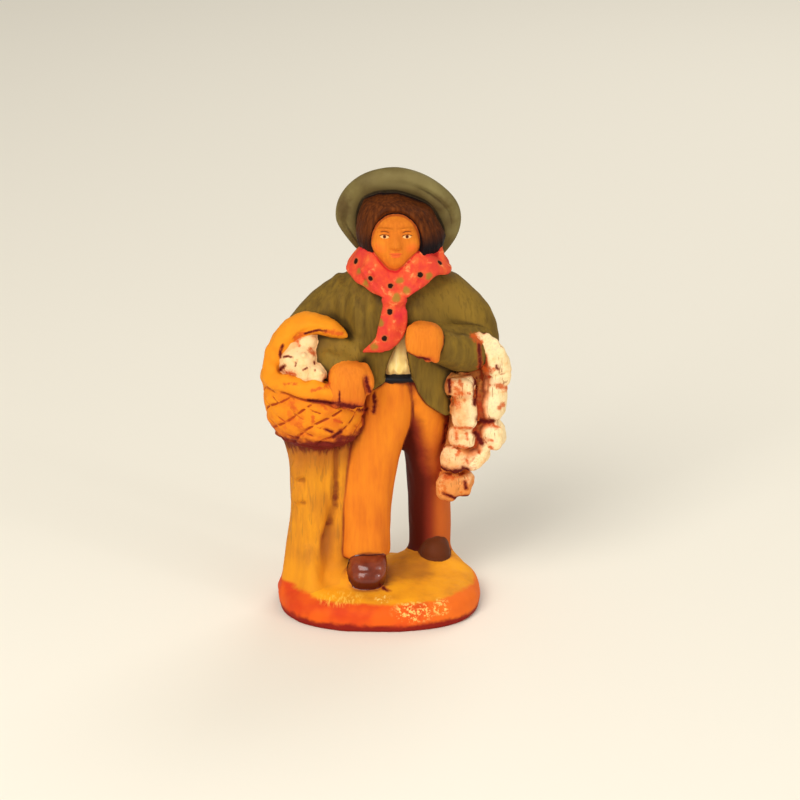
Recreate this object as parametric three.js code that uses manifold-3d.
// A painted clay santon: a garlic seller in a jacket, kerchief and brimmed hat, who rests one hand on a
// basket of garlic that stands on a tree stump, and carries a braid of garlic over the other arm.
// The figure, basket, stump, braid and base are pressed and fired as one piece of clay: one solid.
// Millimetres, +Z up, +X to the viewer's right, and the figure looks along -Y.
// The origin is the centre of the base's flat underside.
import * as THREE from "three";
import { mergeVertices } from "three/addons/utils/BufferGeometryUtils.js";
import Module from "manifold-3d";

// Driving dimensions of the base, in millimetres
const BASE_WIDTH = 31.5;
const BASE_DEPTH = 26;
const BASE_HEIGHT = 5; // the ground under the feet
const BASE_EDGE_HEIGHT = 3.9; // where the side turns into the top
const BASE_SQUARENESS = 2.5; // exponent of the outline: 2 is an ellipse
const BASE_FALL = 0.14; // how steeply the ground falls behind the feet

// Driving dimensions of the figure, in millimetres
const FIGURE_HEIGHT = 64.6; // from the ground to the top of the hat
const BRIM_WIDTH = 19.2;
const BRIM_ROLL = 4.7; // how wide the brim's rolled edge is
const BRIM_THICKNESS = 2.8;
const BASKET_WIDTH = 15.4;
const BASKET_DEPTH = 13.2;
const HANDLE_WIDTH = 4.6;
const HANDLE_THICKNESS = 3;
const GARLIC_WIDTH = 5; // a full head of garlic, in the basket and on the braid
const KERCHIEF_TAIL_WIDTH = 3.8;
const SHOE_WIDTH = 5.8;

// The figure is laid out 64.6 units tall: its pose, proportions and carving are shares of its height.
const LAYOUT_UNITS = 64.6;
const UNIT = FIGURE_HEIGHT / LAYOUT_UNITS;
const GROUND_SINK = 1.2; // how far feet and stump reach down into the base, in units
const FRONT = -Math.PI / 2; // the turn round a ring that looks at the viewer
const WELD = 1e-3;

const wasm = await Module();
wasm.setup();

// A point of the figure: x and y in units from the base's centre, z in units above the ground.
function at(x, y, z) {
  return new THREE.Vector3(x * UNIT, y * UNIT, BASE_HEIGHT + z * UNIT);
}

// The solid inside a closed geometry, with its faces turned outwards.
function solid(geometry, weld = 1e-4) {
  const bare = new THREE.BufferGeometry();
  bare.setAttribute("position", geometry.getAttribute("position"));
  bare.setIndex(geometry.index);
  const merged = mergeVertices(bare, weld);
  const corners = merged.index.array;
  const faces = [];
  for (let i = 0; i < corners.length; i += 3) {
    const [a, b, c] = [corners[i], corners[i + 1], corners[i + 2]];
    if (a !== b && b !== c && a !== c) faces.push([a, b, c]);
  }
  const build = (list) =>
    new wasm.Manifold(
      new wasm.Mesh({
        numProp: 3,
        vertProperties: merged.attributes.position.array,
        triVerts: new Uint32Array(list.flat()),
      }),
    );
  const made = build(faces);
  return made.volume() > 0 ? made : build(faces.map(([a, b, c]) => [a, c, b]));
}

function join(solids) {
  return solids.reduce((whole, next) => whole.add(next));
}

// The values of a table's rows at a share t of the way down it, on a smooth curve through them.
function along(rows, t) {
  const place = t * (rows.length - 1);
  const i = Math.min(Math.floor(place), rows.length - 2);
  const s = place - i;
  return rows[i].map((_, k) => {
    const [b, c] = [rows[i][k], rows[i + 1][k]];
    const a = i > 0 ? rows[i - 1][k] : 2 * b - c;
    const d = i + 2 < rows.length ? rows[i + 2][k] : 2 * c - b;
    return b + 0.5 * s * (c - a + s * (2 * a - 5 * b + 4 * c - d + s * (3 * (b - c) + d - a)));
  });
}

// A closed skin over a stack of rings of points, with a fan over each end.
function skin(rings) {
  const sides = rings[0].length;
  const middle = (ring) => ring.reduce((sum, p) => sum.add(p), new THREE.Vector3()).divideScalar(sides);
  const points = [...rings.flat(), middle(rings[0]), middle(rings[rings.length - 1])];
  const index = [];
  for (let i = 0; i < sides; i++) {
    const j = (i + 1) % sides;
    for (let row = 0; row + 1 < rings.length; row++) {
      const [low, high] = [row * sides, (row + 1) * sides];
      index.push(low + i, low + j, high + j, low + i, high + j, high + i);
    }
    const top = (rings.length - 1) * sides;
    index.push(points.length - 2, j, i, points.length - 1, top + i, top + j);
  }
  const geometry = new THREE.BufferGeometry().setFromPoints(points);
  geometry.setIndex(index);
  return solid(geometry);
}

// A point on a rounded outline: squareness 2 is an ellipse, and more is nearer a rectangle.
function onOutline(turn, halfWidth, halfDepth, squareness = 2) {
  const bend = (v) => Math.sign(v) * Math.abs(v) ** (2 / squareness);
  return [halfWidth * bend(Math.cos(turn)), halfDepth * bend(Math.sin(turn))];
}

// An upright shape of level rings. Its rows hold height, centre x, centre y, half width and half depth, in
// units. relief(turn, height) grows a ring outwards, and lift(turn, share) raises its points.
function column(rows, { sides = 20, steps = 8, squareness = 2, relief = () => 0, lift = () => 0 }) {
  const rings = [];
  for (let step = 0; step <= steps; step++) {
    const [z, x, y, halfWidth, halfDepth] = along(rows, step / steps);
    rings.push(
      Array.from({ length: sides }, (_, i) => {
        const turn = (2 * Math.PI * i) / sides;
        const grow = relief(turn, z, i, step);
        const [dx, dy] = onOutline(turn, halfWidth + grow, halfDepth + grow, squareness);
        return at(x + dx, y + dy, z + lift(turn, step / steps));
      }),
    );
  }
  return skin(rings);
}

// A round or flattened bar along a smooth path, with domed ends. Its rows hold x, y, z and half width, in
// units. wide is the direction of its width, and flat is its thickness as a share of that width.
function limb(rows, { sides = 12, steps = 8, wide = [1, 0, 0], flat = 1, dome = 2 }) {
  const place = (t) => at(...along(rows, t).slice(0, 3));
  const rings = [];
  const ring = (t, push, share) => {
    const tangent = place(Math.min(1, t + 0.01)).sub(place(Math.max(0, t - 0.01))).normalize();
    const width = new THREE.Vector3(...wide);
    width.addScaledVector(tangent, -tangent.dot(width)).normalize();
    const depth = tangent.clone().cross(width);
    const radius = along(rows, t)[3] * UNIT;
    const centre = place(t).addScaledVector(tangent, push * radius * flat);
    rings.push(
      Array.from({ length: sides }, (_, i) => {
        const turn = (2 * Math.PI * i) / sides;
        return centre
          .clone()
          .addScaledVector(width, radius * share * Math.cos(turn))
          .addScaledVector(depth, radius * share * flat * Math.sin(turn));
      }),
    );
  };
  const slope = (k) => (Math.PI / 2) * ((k + 0.5) / (dome + 0.5));
  for (let k = dome; k > 0; k--) ring(0, -Math.sin(slope(k) * 0.94), Math.cos(slope(k) * 0.94));
  for (let step = 0; step <= steps; step++) ring(step / steps, 0, 1);
  for (let k = 1; k <= dome; k++) ring(1, Math.sin(slope(k) * 0.94), Math.cos(slope(k) * 0.94));
  return skin(rings);
}

// The turn that points an upright thing along aim.
function pointing(aim) {
  const [up, direction] = [new THREE.Vector3(0, 0, 1), new THREE.Vector3(...aim).normalize()];
  return new THREE.Quaternion().setFromUnitVectors(up, direction);
}

// An egg shape: centre and half sizes in units, with its height along aim. relief(p) grows it at a point p
// of the unit ball, and focus crowds its columns towards the front.
function orb(centre, [rx, ry, rz], { sides, rows, aim = [0, 0, 1], squareness = 2, relief, focus = 0 }) {
  const geometry = new THREE.SphereGeometry(1, sides, rows);
  const spots = geometry.getAttribute("position");
  const turn = pointing(aim);
  for (let i = 0; i < spots.count; i++) {
    const p = new THREE.Vector3(spots.getX(i), -spots.getZ(i), spots.getY(i));
    const [reach, swing] = [Math.hypot(p.x, p.y), Math.atan2(p.x, -p.y)];
    const aside = swing - focus * Math.sin(swing);
    p.set(reach * Math.sin(aside), -reach * Math.cos(aside), p.z);
    const blunt = p.toArray().reduce((sum, v) => sum + Math.abs(v) ** squareness, 0) ** (-1 / squareness);
    p.multiplyScalar(blunt + (relief ? relief(p) : 0));
    p.set(p.x * rx * UNIT, p.y * ry * UNIT, p.z * rz * UNIT).applyQuaternion(turn).add(at(...centre));
    spots.setXYZ(i, p.x, p.y, p.z);
  }
  return solid(geometry);
}

// The base: a rounded slab that rises gently from its edge to the ground under the feet, and falls again
// towards the back. fallFrom is where that begins.
function base() {
  const rise = BASE_HEIGHT - BASE_EDGE_HEIGHT;
  const fallFrom = 0.14 * BASE_DEPTH;
  const profile = [
    [0, 0.975],
    [1.2, 1],
    [2.6, 0.985],
    [BASE_EDGE_HEIGHT, 0.92],
    [BASE_EDGE_HEIGHT + 0.55 * rise, 0.8],
    [BASE_HEIGHT, 0.5],
  ];
  const sides = 28;
  return skin(
    profile.map(([z, share]) =>
      Array.from({ length: sides }, (_, i) => {
        const turn = (2 * Math.PI * i) / sides;
        const [x, y] = onOutline(turn, (share * BASE_WIDTH) / 2, (share * BASE_DEPTH) / 2, BASE_SQUARENESS);
        const fall = z < BASE_EDGE_HEIGHT ? 0 : BASE_FALL * Math.max(0, y - fallFrom);
        return new THREE.Vector3(x, y, z - fall);
      }),
    ),
  );
}

// The stump that carries the basket, fluted like bark, with the clay that ties it to the leg beside it and
// the deep cleft between the two, which gets wider and shallower towards the ground.
function stump() {
  const bark = (turn, z) => 0.28 * Math.sin(7 * turn + 0.12 * z) + 0.12 * Math.sin(11 * turn - 0.2 * z);
  const trunk = column(
    [
      [-GROUND_SINK, -11, -0.8, 4.1, 4.6],
      [1, -11, -0.9, 3.8, 4.4],
      [4, -10.9, -0.9, 3.5, 4.1],
      [9, -10.4, -1, 3.5, 3.9],
      [15, -10.1, -1.2, 3.7, 3.9],
      [20, -9.9, -1.6, 3.9, 4.1],
      [25, -9.8, -2.2, 5.2, 4.6],
    ],
    { sides: 22, steps: 6, relief: bark },
  );
  const web = column(
    [
      [-GROUND_SINK, -6.5, -2.8, 3.2, 4.3],
      [0.6, -6.5, -2.3, 3, 3.5],
      [3, -6.7, -0.8, 3, 2.8],
      [10, -7, -0.1, 2.9, 2.6],
      [24, -6.8, -0.5, 3, 2.6],
    ],
    { sides: 10, steps: 4 },
  );
  const cleft = limb(
    [
      [-6.3, -3.3, 24, 0.5],
      [-6.4, -3.2, 13.5, 0.55],
      [-8, -3.9, 6.5, 0.8],
      [-7.8, -4.8, 2.6, 0.35],
    ],
    { sides: 6, steps: 5, dome: 1 },
  );
  return join([trunk, web]).subtract(cleft);
}

// A head of garlic: cloves round a short neck. place is its centre, aim the way its neck points.
function garlic(place, size, aim) {
  const sides = 6;
  const turn = pointing(aim);
  const profile = [
    [-0.92, 0.5],
    [-0.3, 1],
    [0.45, 0.84],
    [1.05, 0.3],
  ];
  const radius = size * (GARLIC_WIDTH / 2);
  const centre = at(...place);
  return skin(
    profile.map(([z, share]) =>
      Array.from({ length: sides }, (_, i) => {
        const clove = i % 2 ? 0.93 : 1.04;
        const angle = (2 * Math.PI * (i + 0.5)) / sides;
        const out = radius * share * clove;
        const p = new THREE.Vector3(out * Math.cos(angle), out * Math.sin(angle), radius * z);
        return p.applyQuaternion(turn).add(centre);
      }),
    ),
  );
}

// The basket: a woven bowl with a rolled rim, a broad handle over the arm, and heads of garlic heaped in it.
function basket() {
  const [halfWidth, halfDepth] = [BASKET_WIDTH / 2 / UNIT, BASKET_DEPTH / 2 / UNIT];
  const [x, y] = [-10, -3.2];
  const level = (z, inset, shift = 0) => [z, x + shift, y, halfWidth - inset, halfDepth - inset];
  const rows = [
    level(22.4, 3.8, 1),
    level(23.8, 1.9, 0.8),
    level(26, 0.7, 0.4),
    level(28.4, 0.3, 0.2),
    level(30.6, 0.3),
    level(32, 0.7),
    level(32.6, 0),
    level(33.8, -0.15),
    level(34.9, 0.4),
    level(35, 1.5),
    level(34, 2.4),
  ];
  const woven = rows.findIndex(([z]) => z > 31.5) - 1;
  const weave = (turn, z, i, step) => (step > 0 && step <= woven ? ((i + step) % 2 ? -0.2 : 0.2) : 0);
  const sag = (turn, share) => -1.1 * share ** 4 * Math.max(0, Math.cos(turn + 0.6));
  const bowl = column(rows, { sides: 24, steps: rows.length - 1, relief: weave, lift: sag });
  const half = HANDLE_WIDTH / 2 / UNIT;
  const handle = limb(
    [
      [x - halfWidth + 1.6, -3, 31.5, 0.95 * half],
      [x - halfWidth + 1.5, -3.5, 36, half],
      [-14.4, -3.8, 39.6, half],
      [-11.3, -4.1, 41.5, half],
      [-8.2, -4.5, 41.4, 0.8 * half],
      [-5.3, -4.9, 40.05, 0.24 * half],
    ],
    { sides: 8, steps: 8, wide: [0, 1, 0], flat: HANDLE_THICKNESS / HANDLE_WIDTH, dome: 1 },
  );
  const heap = [
    orb([-11.2, -4.4, 35.7], [3.9, 3.7, 2.9], { sides: 8, rows: 5 }),
    garlic([-13.6, -4.2, 38], 0.68, [-0.6, -0.3, 1]),
    garlic([-11, -4.3, 38.7], 0.7, [0.2, -0.5, 1]),
    garlic([-13.7, -5.4, 36.3], 0.66, [-0.7, -0.8, 0.5]),
    garlic([-11.3, -6.1, 36.6], 0.76, [0.1, -1, 0.7]),
    garlic([-10.7, -7.2, 35], 0.74, [0, -1, 0.5]),
    garlic([-8.8, -7.2, 35], 0.66, [0.6, -1, 0.5]),
  ];
  return join([bowl, handle, ...heap]);
}

// Both legs and the seat of the trousers, the front leg cut short over its shoe.
function trousers() {
  const creases = (turn, z) => 0.13 * Math.sin(3 * turn + 0.45 * z);
  const seat = column(
    [
      [18.4, 3.8, 3.6, 3.4, 1.9],
      [22, 3.4, 2.9, 6.6, 4],
      [27, 3, 2.3, 7.6, 5],
      [34, 2.9, 1.7, 7, 5.4],
    ],
    { sides: 14, steps: 4 },
  );
  const frontLeg = column(
    [
      [3.9, -2.1, -0.7, 3.3, 3.4],
      [4.9, -2.1, -0.8, 3.7, 3.9],
      [9, -2.1, -0.5, 3.8, 4],
      [14, -2, -0.2, 4.2, 4.3],
      [20, -1.2, 0.4, 4.7, 4.8],
      [25, 0.2, 0.8, 5, 5.2],
      [29, 1.3, 1, 4.8, 5.5],
      [33, 1.8, 1.2, 4.6, 5.6],
    ],
    { sides: 16, steps: 7, relief: creases },
  );
  const backLeg = column(
    [
      [-GROUND_SINK, 8, 8, 3.3, 3.4],
      [3, 8, 7.9, 3.35, 3.5],
      [8, 7.8, 7.3, 3.4, 3.7],
      [14, 7.6, 6.2, 3.4, 4],
      [19, 7.3, 4.9, 3.6, 4.5],
      [24, 7, 3.3, 4, 5.1],
      [28.5, 6.5, 2.2, 4.2, 5.4],
      [33, 5.6, 1.6, 4.4, 5.6],
    ],
    { sides: 16, steps: 7, relief: creases },
  );
  return join([seat, frontLeg, backLeg]);
}

// The front shoe is a blunt clog on a block of ground, and the back one a round toe under the hem. The ground
// is banked up against both.
function shoes() {
  const blunt = (z, y, share, depth) => [z, -2, y, (SHOE_WIDTH / 2 / UNIT) * share, depth];
  const front = column(
    [
      blunt(-GROUND_SINK, -4.3, 0.68, 2.8),
      blunt(-0.3, -4.4, 0.82, 3.1),
      blunt(1.2, -4.5, 0.95, 3.5),
      blunt(2.6, -4.2, 1, 3.3),
      blunt(4.3, -3.4, 0.92, 2.5),
    ],
    { sides: 14, steps: 5, squareness: 2.7 },
  );
  const ankle = column(
    [
      [-GROUND_SINK, -2, 0.2, 3.1, 3.2],
      [2, -2.1, -0.1, 3, 3.2],
      [5, -2.1, -0.4, 3, 3.2],
    ],
    { sides: 8, steps: 1 },
  );
  const back = orb([8.75, 5.3, 0.6], [2.4, 3.1, 3.05], { sides: 10, rows: 6 });
  const banks = [
    orb([-4.2, -3.6, -0.6], [2.6, 3.4, 2.6], { sides: 10, rows: 6 }),
    orb([7.6, 5.2, -1.1], [5.2, 5.4, 1.9], { sides: 10, rows: 6 }),
  ];
  return join([front, ankle, back, ...banks]);
}

// The shirt front and the belt that show where the jacket hangs open.
function shirt() {
  const body = column(
    [
      [33, 2.9, 1.6, 6.6, 5.6],
      [37, 2.9, 1.5, 7.4, 5.9],
      [42, 2.8, 1.5, 7.8, 5.8],
      [46, 2.8, 1.6, 6.6, 5],
    ],
    { sides: 12, steps: 3 },
  );
  const belt = column(
    [
      [32.5, 2.9, 1.5, 6.6, 5.7],
      [32.7, 2.9, 1.5, 7.2, 6.2],
      [33.7, 2.9, 1.5, 7.2, 6.2],
      [33.9, 2.9, 1.5, 6.6, 5.7],
    ],
    { sides: 16, steps: 3 },
  );
  return join([body, belt]);
}

// The jacket: a thick shell to the hips, open down the front, with its hem lowest at the flap on the right.
function jacket() {
  const facing = (turn, to) => Math.max(0, Math.cos(turn - to));
  const hem = (turn, share) =>
    (1 - share) ** 3 * (1.2 + 4.6 * facing(turn, FRONT - 0.9) ** 2 - 2.6 * facing(turn, FRONT + 0.84) ** 8);
  const folds = (turn, z) => {
    const low = Math.max(0, 1 - (z - 26) / 12);
    return 0.3 * low * Math.sin(8 * turn + 0.8) + 0.15 * Math.sin(5 * turn + 0.3 * z);
  };
  const shell = column(
    [
      [27.6, 3.2, 1.6, 8.6, 6.7],
      [30, 3.1, 1.6, 8.8, 6.9],
      [34, 3, 1.5, 8.8, 7],
      [38, 2.8, 1.4, 9, 7],
      [42, 2.6, 1.4, 9.4, 6.9],
      [45.4, 2.4, 1.6, 9, 6.2],
      [47.6, 2.5, 1.8, 7.6, 5.2],
      [49.8, 2.6, 1.9, 5.4, 4.2],
    ],
    { sides: 28, steps: 8, squareness: 2.2, relief: folds, lift: hem },
  );
  const opening = new THREE.Shape();
  const corner = (x, z) => [x * UNIT, z * UNIT];
  opening.moveTo(...corner(4.5, 41));
  opening.quadraticCurveTo(...corner(2.9, 37.5), ...corner(1.55, 33.6));
  opening.lineTo(...corner(-0.9, 24));
  opening.lineTo(...corner(11.4, 24));
  opening.lineTo(...corner(10.3, 26.4));
  opening.quadraticCurveTo(...corner(6.1, 29), ...corner(4.85, 33.6));
  opening.quadraticCurveTo(...corner(4.4, 37.5), ...corner(4.5, 41));
  const wedge = new THREE.ExtrudeGeometry(opening, {
    depth: 12 * UNIT,
    bevelEnabled: false,
    curveSegments: 3,
  });
  wedge.rotateX(Math.PI / 2);
  wedge.translate(0, 0, BASE_HEIGHT);
  return shell.subtract(solid(wedge));
}

// The sleeves, each from the shoulder round the elbow to the cuff, and the jacket's cloth between the right
// sleeve and the chest.
function sleeves() {
  const shape = { sides: 10, steps: 7, dome: 1 };
  const right = limb(
    [
      [-4.5, 1.8, 44.1, 4],
      [-8, 2.3, 40.9, 4.3],
      [-11, 1.7, 37.1, 4],
      [-8.8, -2.4, 35.9, 3.6],
      [-5.6, -5.4, 35.5, 2.9],
    ],
    shape,
  );
  const left = limb(
    [
      [9.6, 1.8, 44.2, 4.2],
      [12.6, 2.3, 41, 4.3],
      [14.3, 1.8, 37.5, 4.1],
      [12.8, -2, 37.4, 3.8],
      [9.8, -5.2, 39, 3.1],
    ],
    shape,
  );
  const lap = limb(
    [
      [-9.8, -1.6, 39.6, 2.2],
      [-6.6, -3.6, 38.6, 1.9],
      [-3.6, -4.6, 37.6, 1.4],
    ],
    { sides: 8, steps: 3, dome: 1 },
  );
  return join([right, left, lap]);
}

// A closed hand whose fingers hang side by side, with a groove between each two. A finger's width is a share
// of half the hand.
function fist(centre, size, aim, finger) {
  const grooves = (p) => (p.y < 0 ? 0.05 * p.y * (1 + Math.cos((2 * Math.PI * p.x) / finger)) : 0);
  return orb(centre, size, { sides: 14, rows: 8, aim, squareness: 2.7, relief: grooves, focus: 0.4 });
}

function hands() {
  const fingers = 4;
  const thumb = { sides: 6, steps: 3, dome: 1 };
  const right = fist([-4.3, -7.8, 33.4], [3.1, 2.2, 3.5], [0, 0.14, 1], 2 / fingers);
  const rightThumb = limb(
    [
      [-2.3, -7, 35.7, 1],
      [-1.5, -7.7, 34.6, 0.8],
      [-1.25, -8.2, 33.5, 0.65],
      [-1.5, -8.4, 32.5, 0.45],
    ],
    thumb,
  );
  const left = fist([6.8, -8, 40.5], [2.9, 2.3, 2.9], [0.08, 0, 1], 2 / fingers);
  const knuckles = limb(
    [
      [4.9, -8.6, 42.6, 0.6],
      [5.5, -9, 42.7, 0.7],
      [6.6, -9.1, 42.3, 0.6],
      [8, -8.9, 42.6, 0.7],
    ],
    thumb,
  );
  return join([right, rightThumb, left, knuckles]);
}

// The kerchief: a folded band round the neck that dips to a point in front, with a corner standing up beside
// the hair on each side, a knot, and one tail that falls down the chest.
function kerchief() {
  const front = (turn) => Math.max(0, Math.cos(turn - FRONT));
  const dip = (turn, share) =>
    -(1 - share) * 2.6 * front(turn) ** 2 - share * Math.max(0, 7 * front(turn) - 4.4);
  const level = (z, out) => [z, 2.9, 0.3, 6.4 + out, 5.6 + out];
  const band = column(
    [
      level(48.8, -1.2),
      level(48.9, 0.6),
      level(49.7, 1.25),
      level(50.8, 0.6),
      level(52, -0.4),
      level(51.8, -1.8),
    ],
    { sides: 24, steps: 5, lift: dip },
  );
  const peak = { sides: 5, steps: 2, dome: 1 };
  const leftPeak = limb(
    [
      [-2.9, -1.4, 50.4, 0.8],
      [-2.8, -1.2, 51.5, 0.65],
      [-2.65, -1, 52.4, 0.3],
    ],
    peak,
  );
  const rightPeak = limb(
    [
      [9.2, -1.4, 50.6, 0.9],
      [9.2, -1.2, 51.7, 0.7],
      [9.35, -1, 52.6, 0.3],
    ],
    peak,
  );
  const knot = orb([2.4, -6.1, 46.3], [1.9, 1.05, 1], { sides: 6, rows: 4 });
  const half = KERCHIEF_TAIL_WIDTH / 2 / UNIT;
  const tail = limb(
    [
      [2.4, -5.9, 46, 0.85 * half],
      [2.2, -6.2, 43.6, half],
      [1.7, -6.4, 41.4, half],
      [0.7, -6.4, 39.6, 0.76 * half],
      [-2.2, -5.9, 38.1, 0.16 * half],
    ],
    { sides: 8, steps: 6, wide: [1, 0, -0.35], flat: 0.42, dome: 1 },
  );
  return join([band, leftPeak, rightPeak, knot, tail]);
}

// The head: a plain oval face of even proportions, in a bob of hair that leaves it free.
function head() {
  const bump = (p, x, z, wide, high) => Math.exp(-(((p.x - x) / wide) ** 2) - ((p.z - z) / high) ** 2);
  const features = (p) => {
    const front = Math.min(1, 3 * Math.max(0, -p.y));
    const bridge = 0.07 * bump(p, 0, 0.05, 0.12, 0.2);
    const nose = 0.13 * bump(p, 0, -0.2, 0.15, 0.13);
    const eyes = 0.06 * (bump(p, -0.38, 0.1, 0.2, 0.13) + bump(p, 0.38, 0.1, 0.2, 0.13));
    const lips = 0.05 * bump(p, 0, -0.5, 0.26, 0.1);
    const chin = 0.07 * bump(p, 0, -0.82, 0.26, 0.14);
    return front * (bridge + nose - eyes + lips + chin);
  };
  const face = orb([2.6, -0.2, 55.2], [4.3, 4.7, 4.6], {
    sides: 18,
    rows: 11,
    squareness: 2.2,
    relief: features,
    focus: 0.4,
  });
  const locks = (turn, z) => 0.14 * Math.sin(14 * turn) * Math.min(1, Math.max(0, (60 - z) / 3));
  const bob = column(
    [
      [50.4, 3.3, 0.6, 5.2, 4.4],
      [51.3, 3.35, 0.7, 5.75, 4.9],
      [52.6, 3.35, 0.7, 6.35, 5.3],
      [54.2, 3.3, 0.8, 6.7, 5.6],
      [56.6, 2.85, 0.8, 6.05, 5.7],
      [58.2, 2.6, 0.9, 5.45, 5.4],
      [59, 2.35, 1, 4.8, 5],
      [59.8, 1.8, 1.2, 3.7, 4.4],
      [60.7, 1.6, 1.4, 1.7, 2.6],
    ],
    { sides: 28, steps: 8, squareness: 2.1, relief: locks },
  );
  const window = orb([2.6, -7.4, 54.3], [4.9, 6.6, 6.3], { sides: 14, rows: 8 });
  const neck = column(
    [
      [46, 2.7, 0, 3.9, 4.2],
      [54, 2.7, 0, 3.3, 3.6],
    ],
    { sides: 10, steps: 1 },
  );
  return join([bob.subtract(window), face, neck]);
}

// The hat, pushed back on the head: its brim stands up behind the hair like a dish with a fat rolled edge,
// and the crown is behind it. Its profile holds pairs of a radius and a height, and the height points to the
// back once the hat stands.
function hat() {
  const tilt = THREE.MathUtils.degToRad(74);
  const reach = BRIM_WIDTH / 2;
  const high = reach / 1.08;
  const foreshorten = high / reach;
  const [rollStart, rollEnd, rollSteps] = [-160, 90, 7];
  const roll = Array.from({ length: rollSteps + 1 }, (_, i) => {
    const turn = THREE.MathUtils.degToRad(rollStart + ((rollEnd - rollStart) * i) / rollSteps);
    const radius = reach - (BRIM_ROLL / 2) * (1 - Math.cos(turn));
    return [radius, (BRIM_THICKNESS / 2) * (Math.sin(turn) - 0.25)];
  });
  const crown = [
    [6, 1.5],
    [5.9, 2.8],
    [5.2, 4.2],
    [3.4, 4.9],
    [0, 5],
  ].map(([radius, height]) => [radius * UNIT, height * UNIT]);
  const profile = [[0, 0], [0.46 * reach, 0], ...roll, ...crown];
  const geometry = new THREE.LatheGeometry(
    profile.map(([radius, height]) => new THREE.Vector2(radius, height)),
    24,
  );
  // the felt is out of round: flatter at the upper right and at the two lower corners
  const lobe = (turn, degrees, width) =>
    Math.exp((Math.cos(turn - THREE.MathUtils.degToRad(degrees)) - 1) / width ** 2);
  const outline = (turn) =>
    1 + 0.02 * lobe(turn, 158, 0.3) - 0.07 * lobe(turn, 203, 0.3) - 0.03 * lobe(turn, 50, 0.35) -
    0.04 * lobe(turn, 325, 0.3);
  const centre = at(3, 4.5, LAYOUT_UNITS);
  centre.z -= high * Math.sin(tilt);
  const spots = geometry.getAttribute("position");
  for (let i = 0; i < spots.count; i++) {
    const turn = Math.atan2(spots.getZ(i), spots.getX(i));
    const [a, b] = [spots.getX(i) * outline(turn), spots.getZ(i) * outline(turn)];
    const low = Math.max(0, -b / reach);
    const edge = (Math.hypot(a, b) / reach) ** 3;
    const back = spots.getY(i) + edge * (0.4 * Math.sin(3 * turn + 1) - 0.25 * Math.cos(2 * turn)) * UNIT;
    const rise = b * foreshorten;
    const p = new THREE.Vector3(
      a * (1 - 0.07 * low) + 0.75 * low * UNIT,
      back * Math.sin(tilt) - rise * Math.cos(tilt),
      back * Math.cos(tilt) + rise * Math.sin(tilt),
    ).add(centre);
    spots.setXYZ(i, p.x, p.y, p.z);
  }
  return solid(geometry);
}

// A head on the braid: a stubby knob of clay scored into cloves. width and long are shares of a full head.
function bunch(place, width, long, aim) {
  const half = GARLIC_WIDTH / 2 / UNIT;
  const cloves = (p) => 0.04 * Math.cos(4 * Math.atan2(p.y, p.x)) * Math.hypot(p.x, p.y);
  const size = [half * width, half * width * 0.96, half * long];
  return orb(place, size, { sides: 8, rows: 5, aim, squareness: 2.7, relief: cloves });
}

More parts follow.
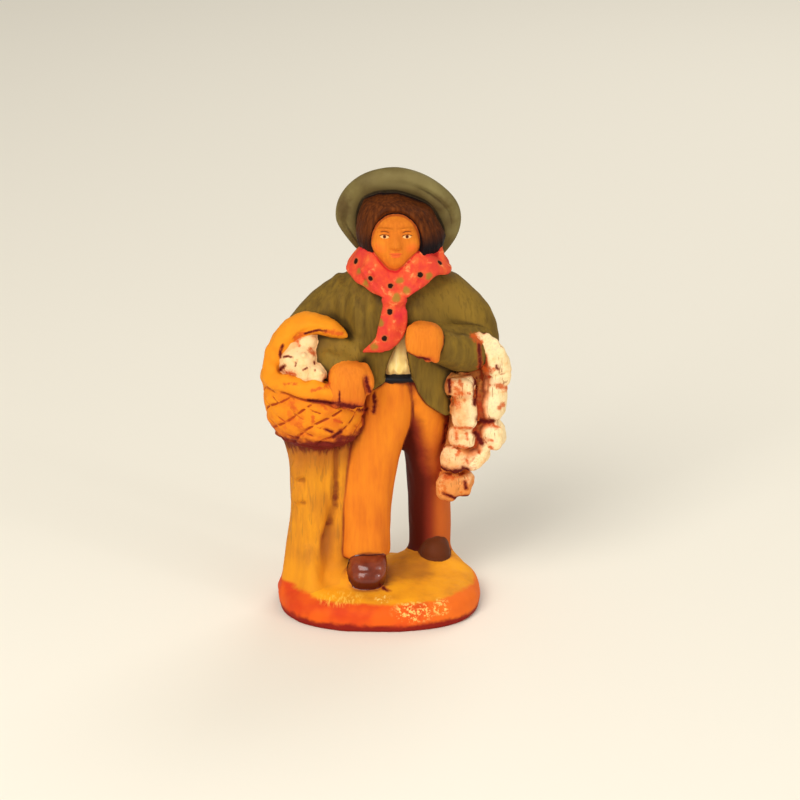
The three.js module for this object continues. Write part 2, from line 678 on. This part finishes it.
// The braid over the forearm: two strands of garlic heads that meet at the bottom, the outer one under a long
// head that lies over the elbow, with more heads behind them and a backing of clay.
function braid() {
  const longHead = limb(
    [
      [14.3, -3, 39.6, 0.4],
      [16, -2.6, 38.6, 1.2],
      [17.3, -1.9, 36.4, 1.9],
      [18, -1.2, 33.6, 2.2],
      [17.7, -1, 31.2, 1.8],
    ],
    { sides: 8, steps: 5, dome: 1 },
  );
  const outer = [
    bunch([17.15, -0.6, 28.6], 0.9, 1.28, [0.1, 0, 1]),
    bunch([17, -0.2, 22.7], 0.84, 0.96, [-0.25, -0.1, 1]),
    bunch([14.5, 0.3, 19], 0.74, 0.88, [0.75, 0, 0.7]),
    bunch([13.4, 1, 14], 0.5, 0.8, [0.15, -0.2, 1]),
  ];
  const inner = [
    bunch([12.4, -2.8, 31.6], 0.8, 0.84, [0, -0.2, 1]),
    bunch([12.8, -2.2, 27.3], 0.78, 1.12, [-0.05, -0.1, 1]),
    bunch([12.4, -1.2, 22.9], 0.8, 0.64, [0.05, 0, 1]),
    bunch([11.3, -0.2, 18.8], 0.75, 0.84, [0.15, 0, 1]),
    bunch([10.9, 0.9, 13.8], 0.78, 0.92, [0.15, -0.2, 1]),
  ];
  const behind = [
    bunch([15.8, 2.4, 31.4], 0.85, 1.5, [0.1, 0, 1]),
    bunch([15.3, 2.8, 24.8], 0.8, 1.3, [0.15, 0, 1]),
    bunch([13.6, 3.1, 19.4], 0.72, 1, [0.3, 0, 1]),
  ];
  const backing = limb(
    [
      [14.4, 0.6, 36.5, 2.6],
      [14.6, 1.2, 31, 3.1],
      [13.8, 1.7, 24.5, 3],
      [12.2, 2.6, 18, 2.4],
      [11.2, 3.2, 14.2, 1.8],
    ],
    { sides: 8, steps: 5, flat: 0.62, dome: 1 },
  );
  return join([backing, longHead, ...outer, ...inner, ...behind]);
}

// The surface of a solid.
function surface(made) {
  const mesh = made.getMesh();
  const geometry = new THREE.BufferGeometry();
  geometry.setAttribute("position", new THREE.BufferAttribute(new Float32Array(mesh.vertProperties), 3));
  geometry.setIndex(new THREE.BufferAttribute(mesh.triVerts, 1));
  return geometry;
}

// The whole figurine as one skin. Points nearer than WELD are one point, and specks inside the clay are
// dropped.
function santon() {
  const whole = join([
    base(),
    stump(),
    basket(),
    trousers(),
    shoes(),
    shirt(),
    jacket(),
    sleeves(),
    hands(),
    kerchief(),
    head(),
    hat(),
    braid(),
  ]);
  const skins = solid(surface(whole), WELD).decompose();
  const [outer] = skins.sort((a, b) => b.volume() - a.volume());
  const geometry = surface(outer);
  geometry.computeVertexNormals();
  return geometry;
}

const paintedClay = new THREE.MeshStandardMaterial({ color: 0xd98a2b, roughness: 0.7, metalness: 0 });
const figurine = new THREE.Mesh(santon(), paintedClay);
figurine.name = "santon";

const group = new THREE.Group();
group.add(figurine);

export default group;
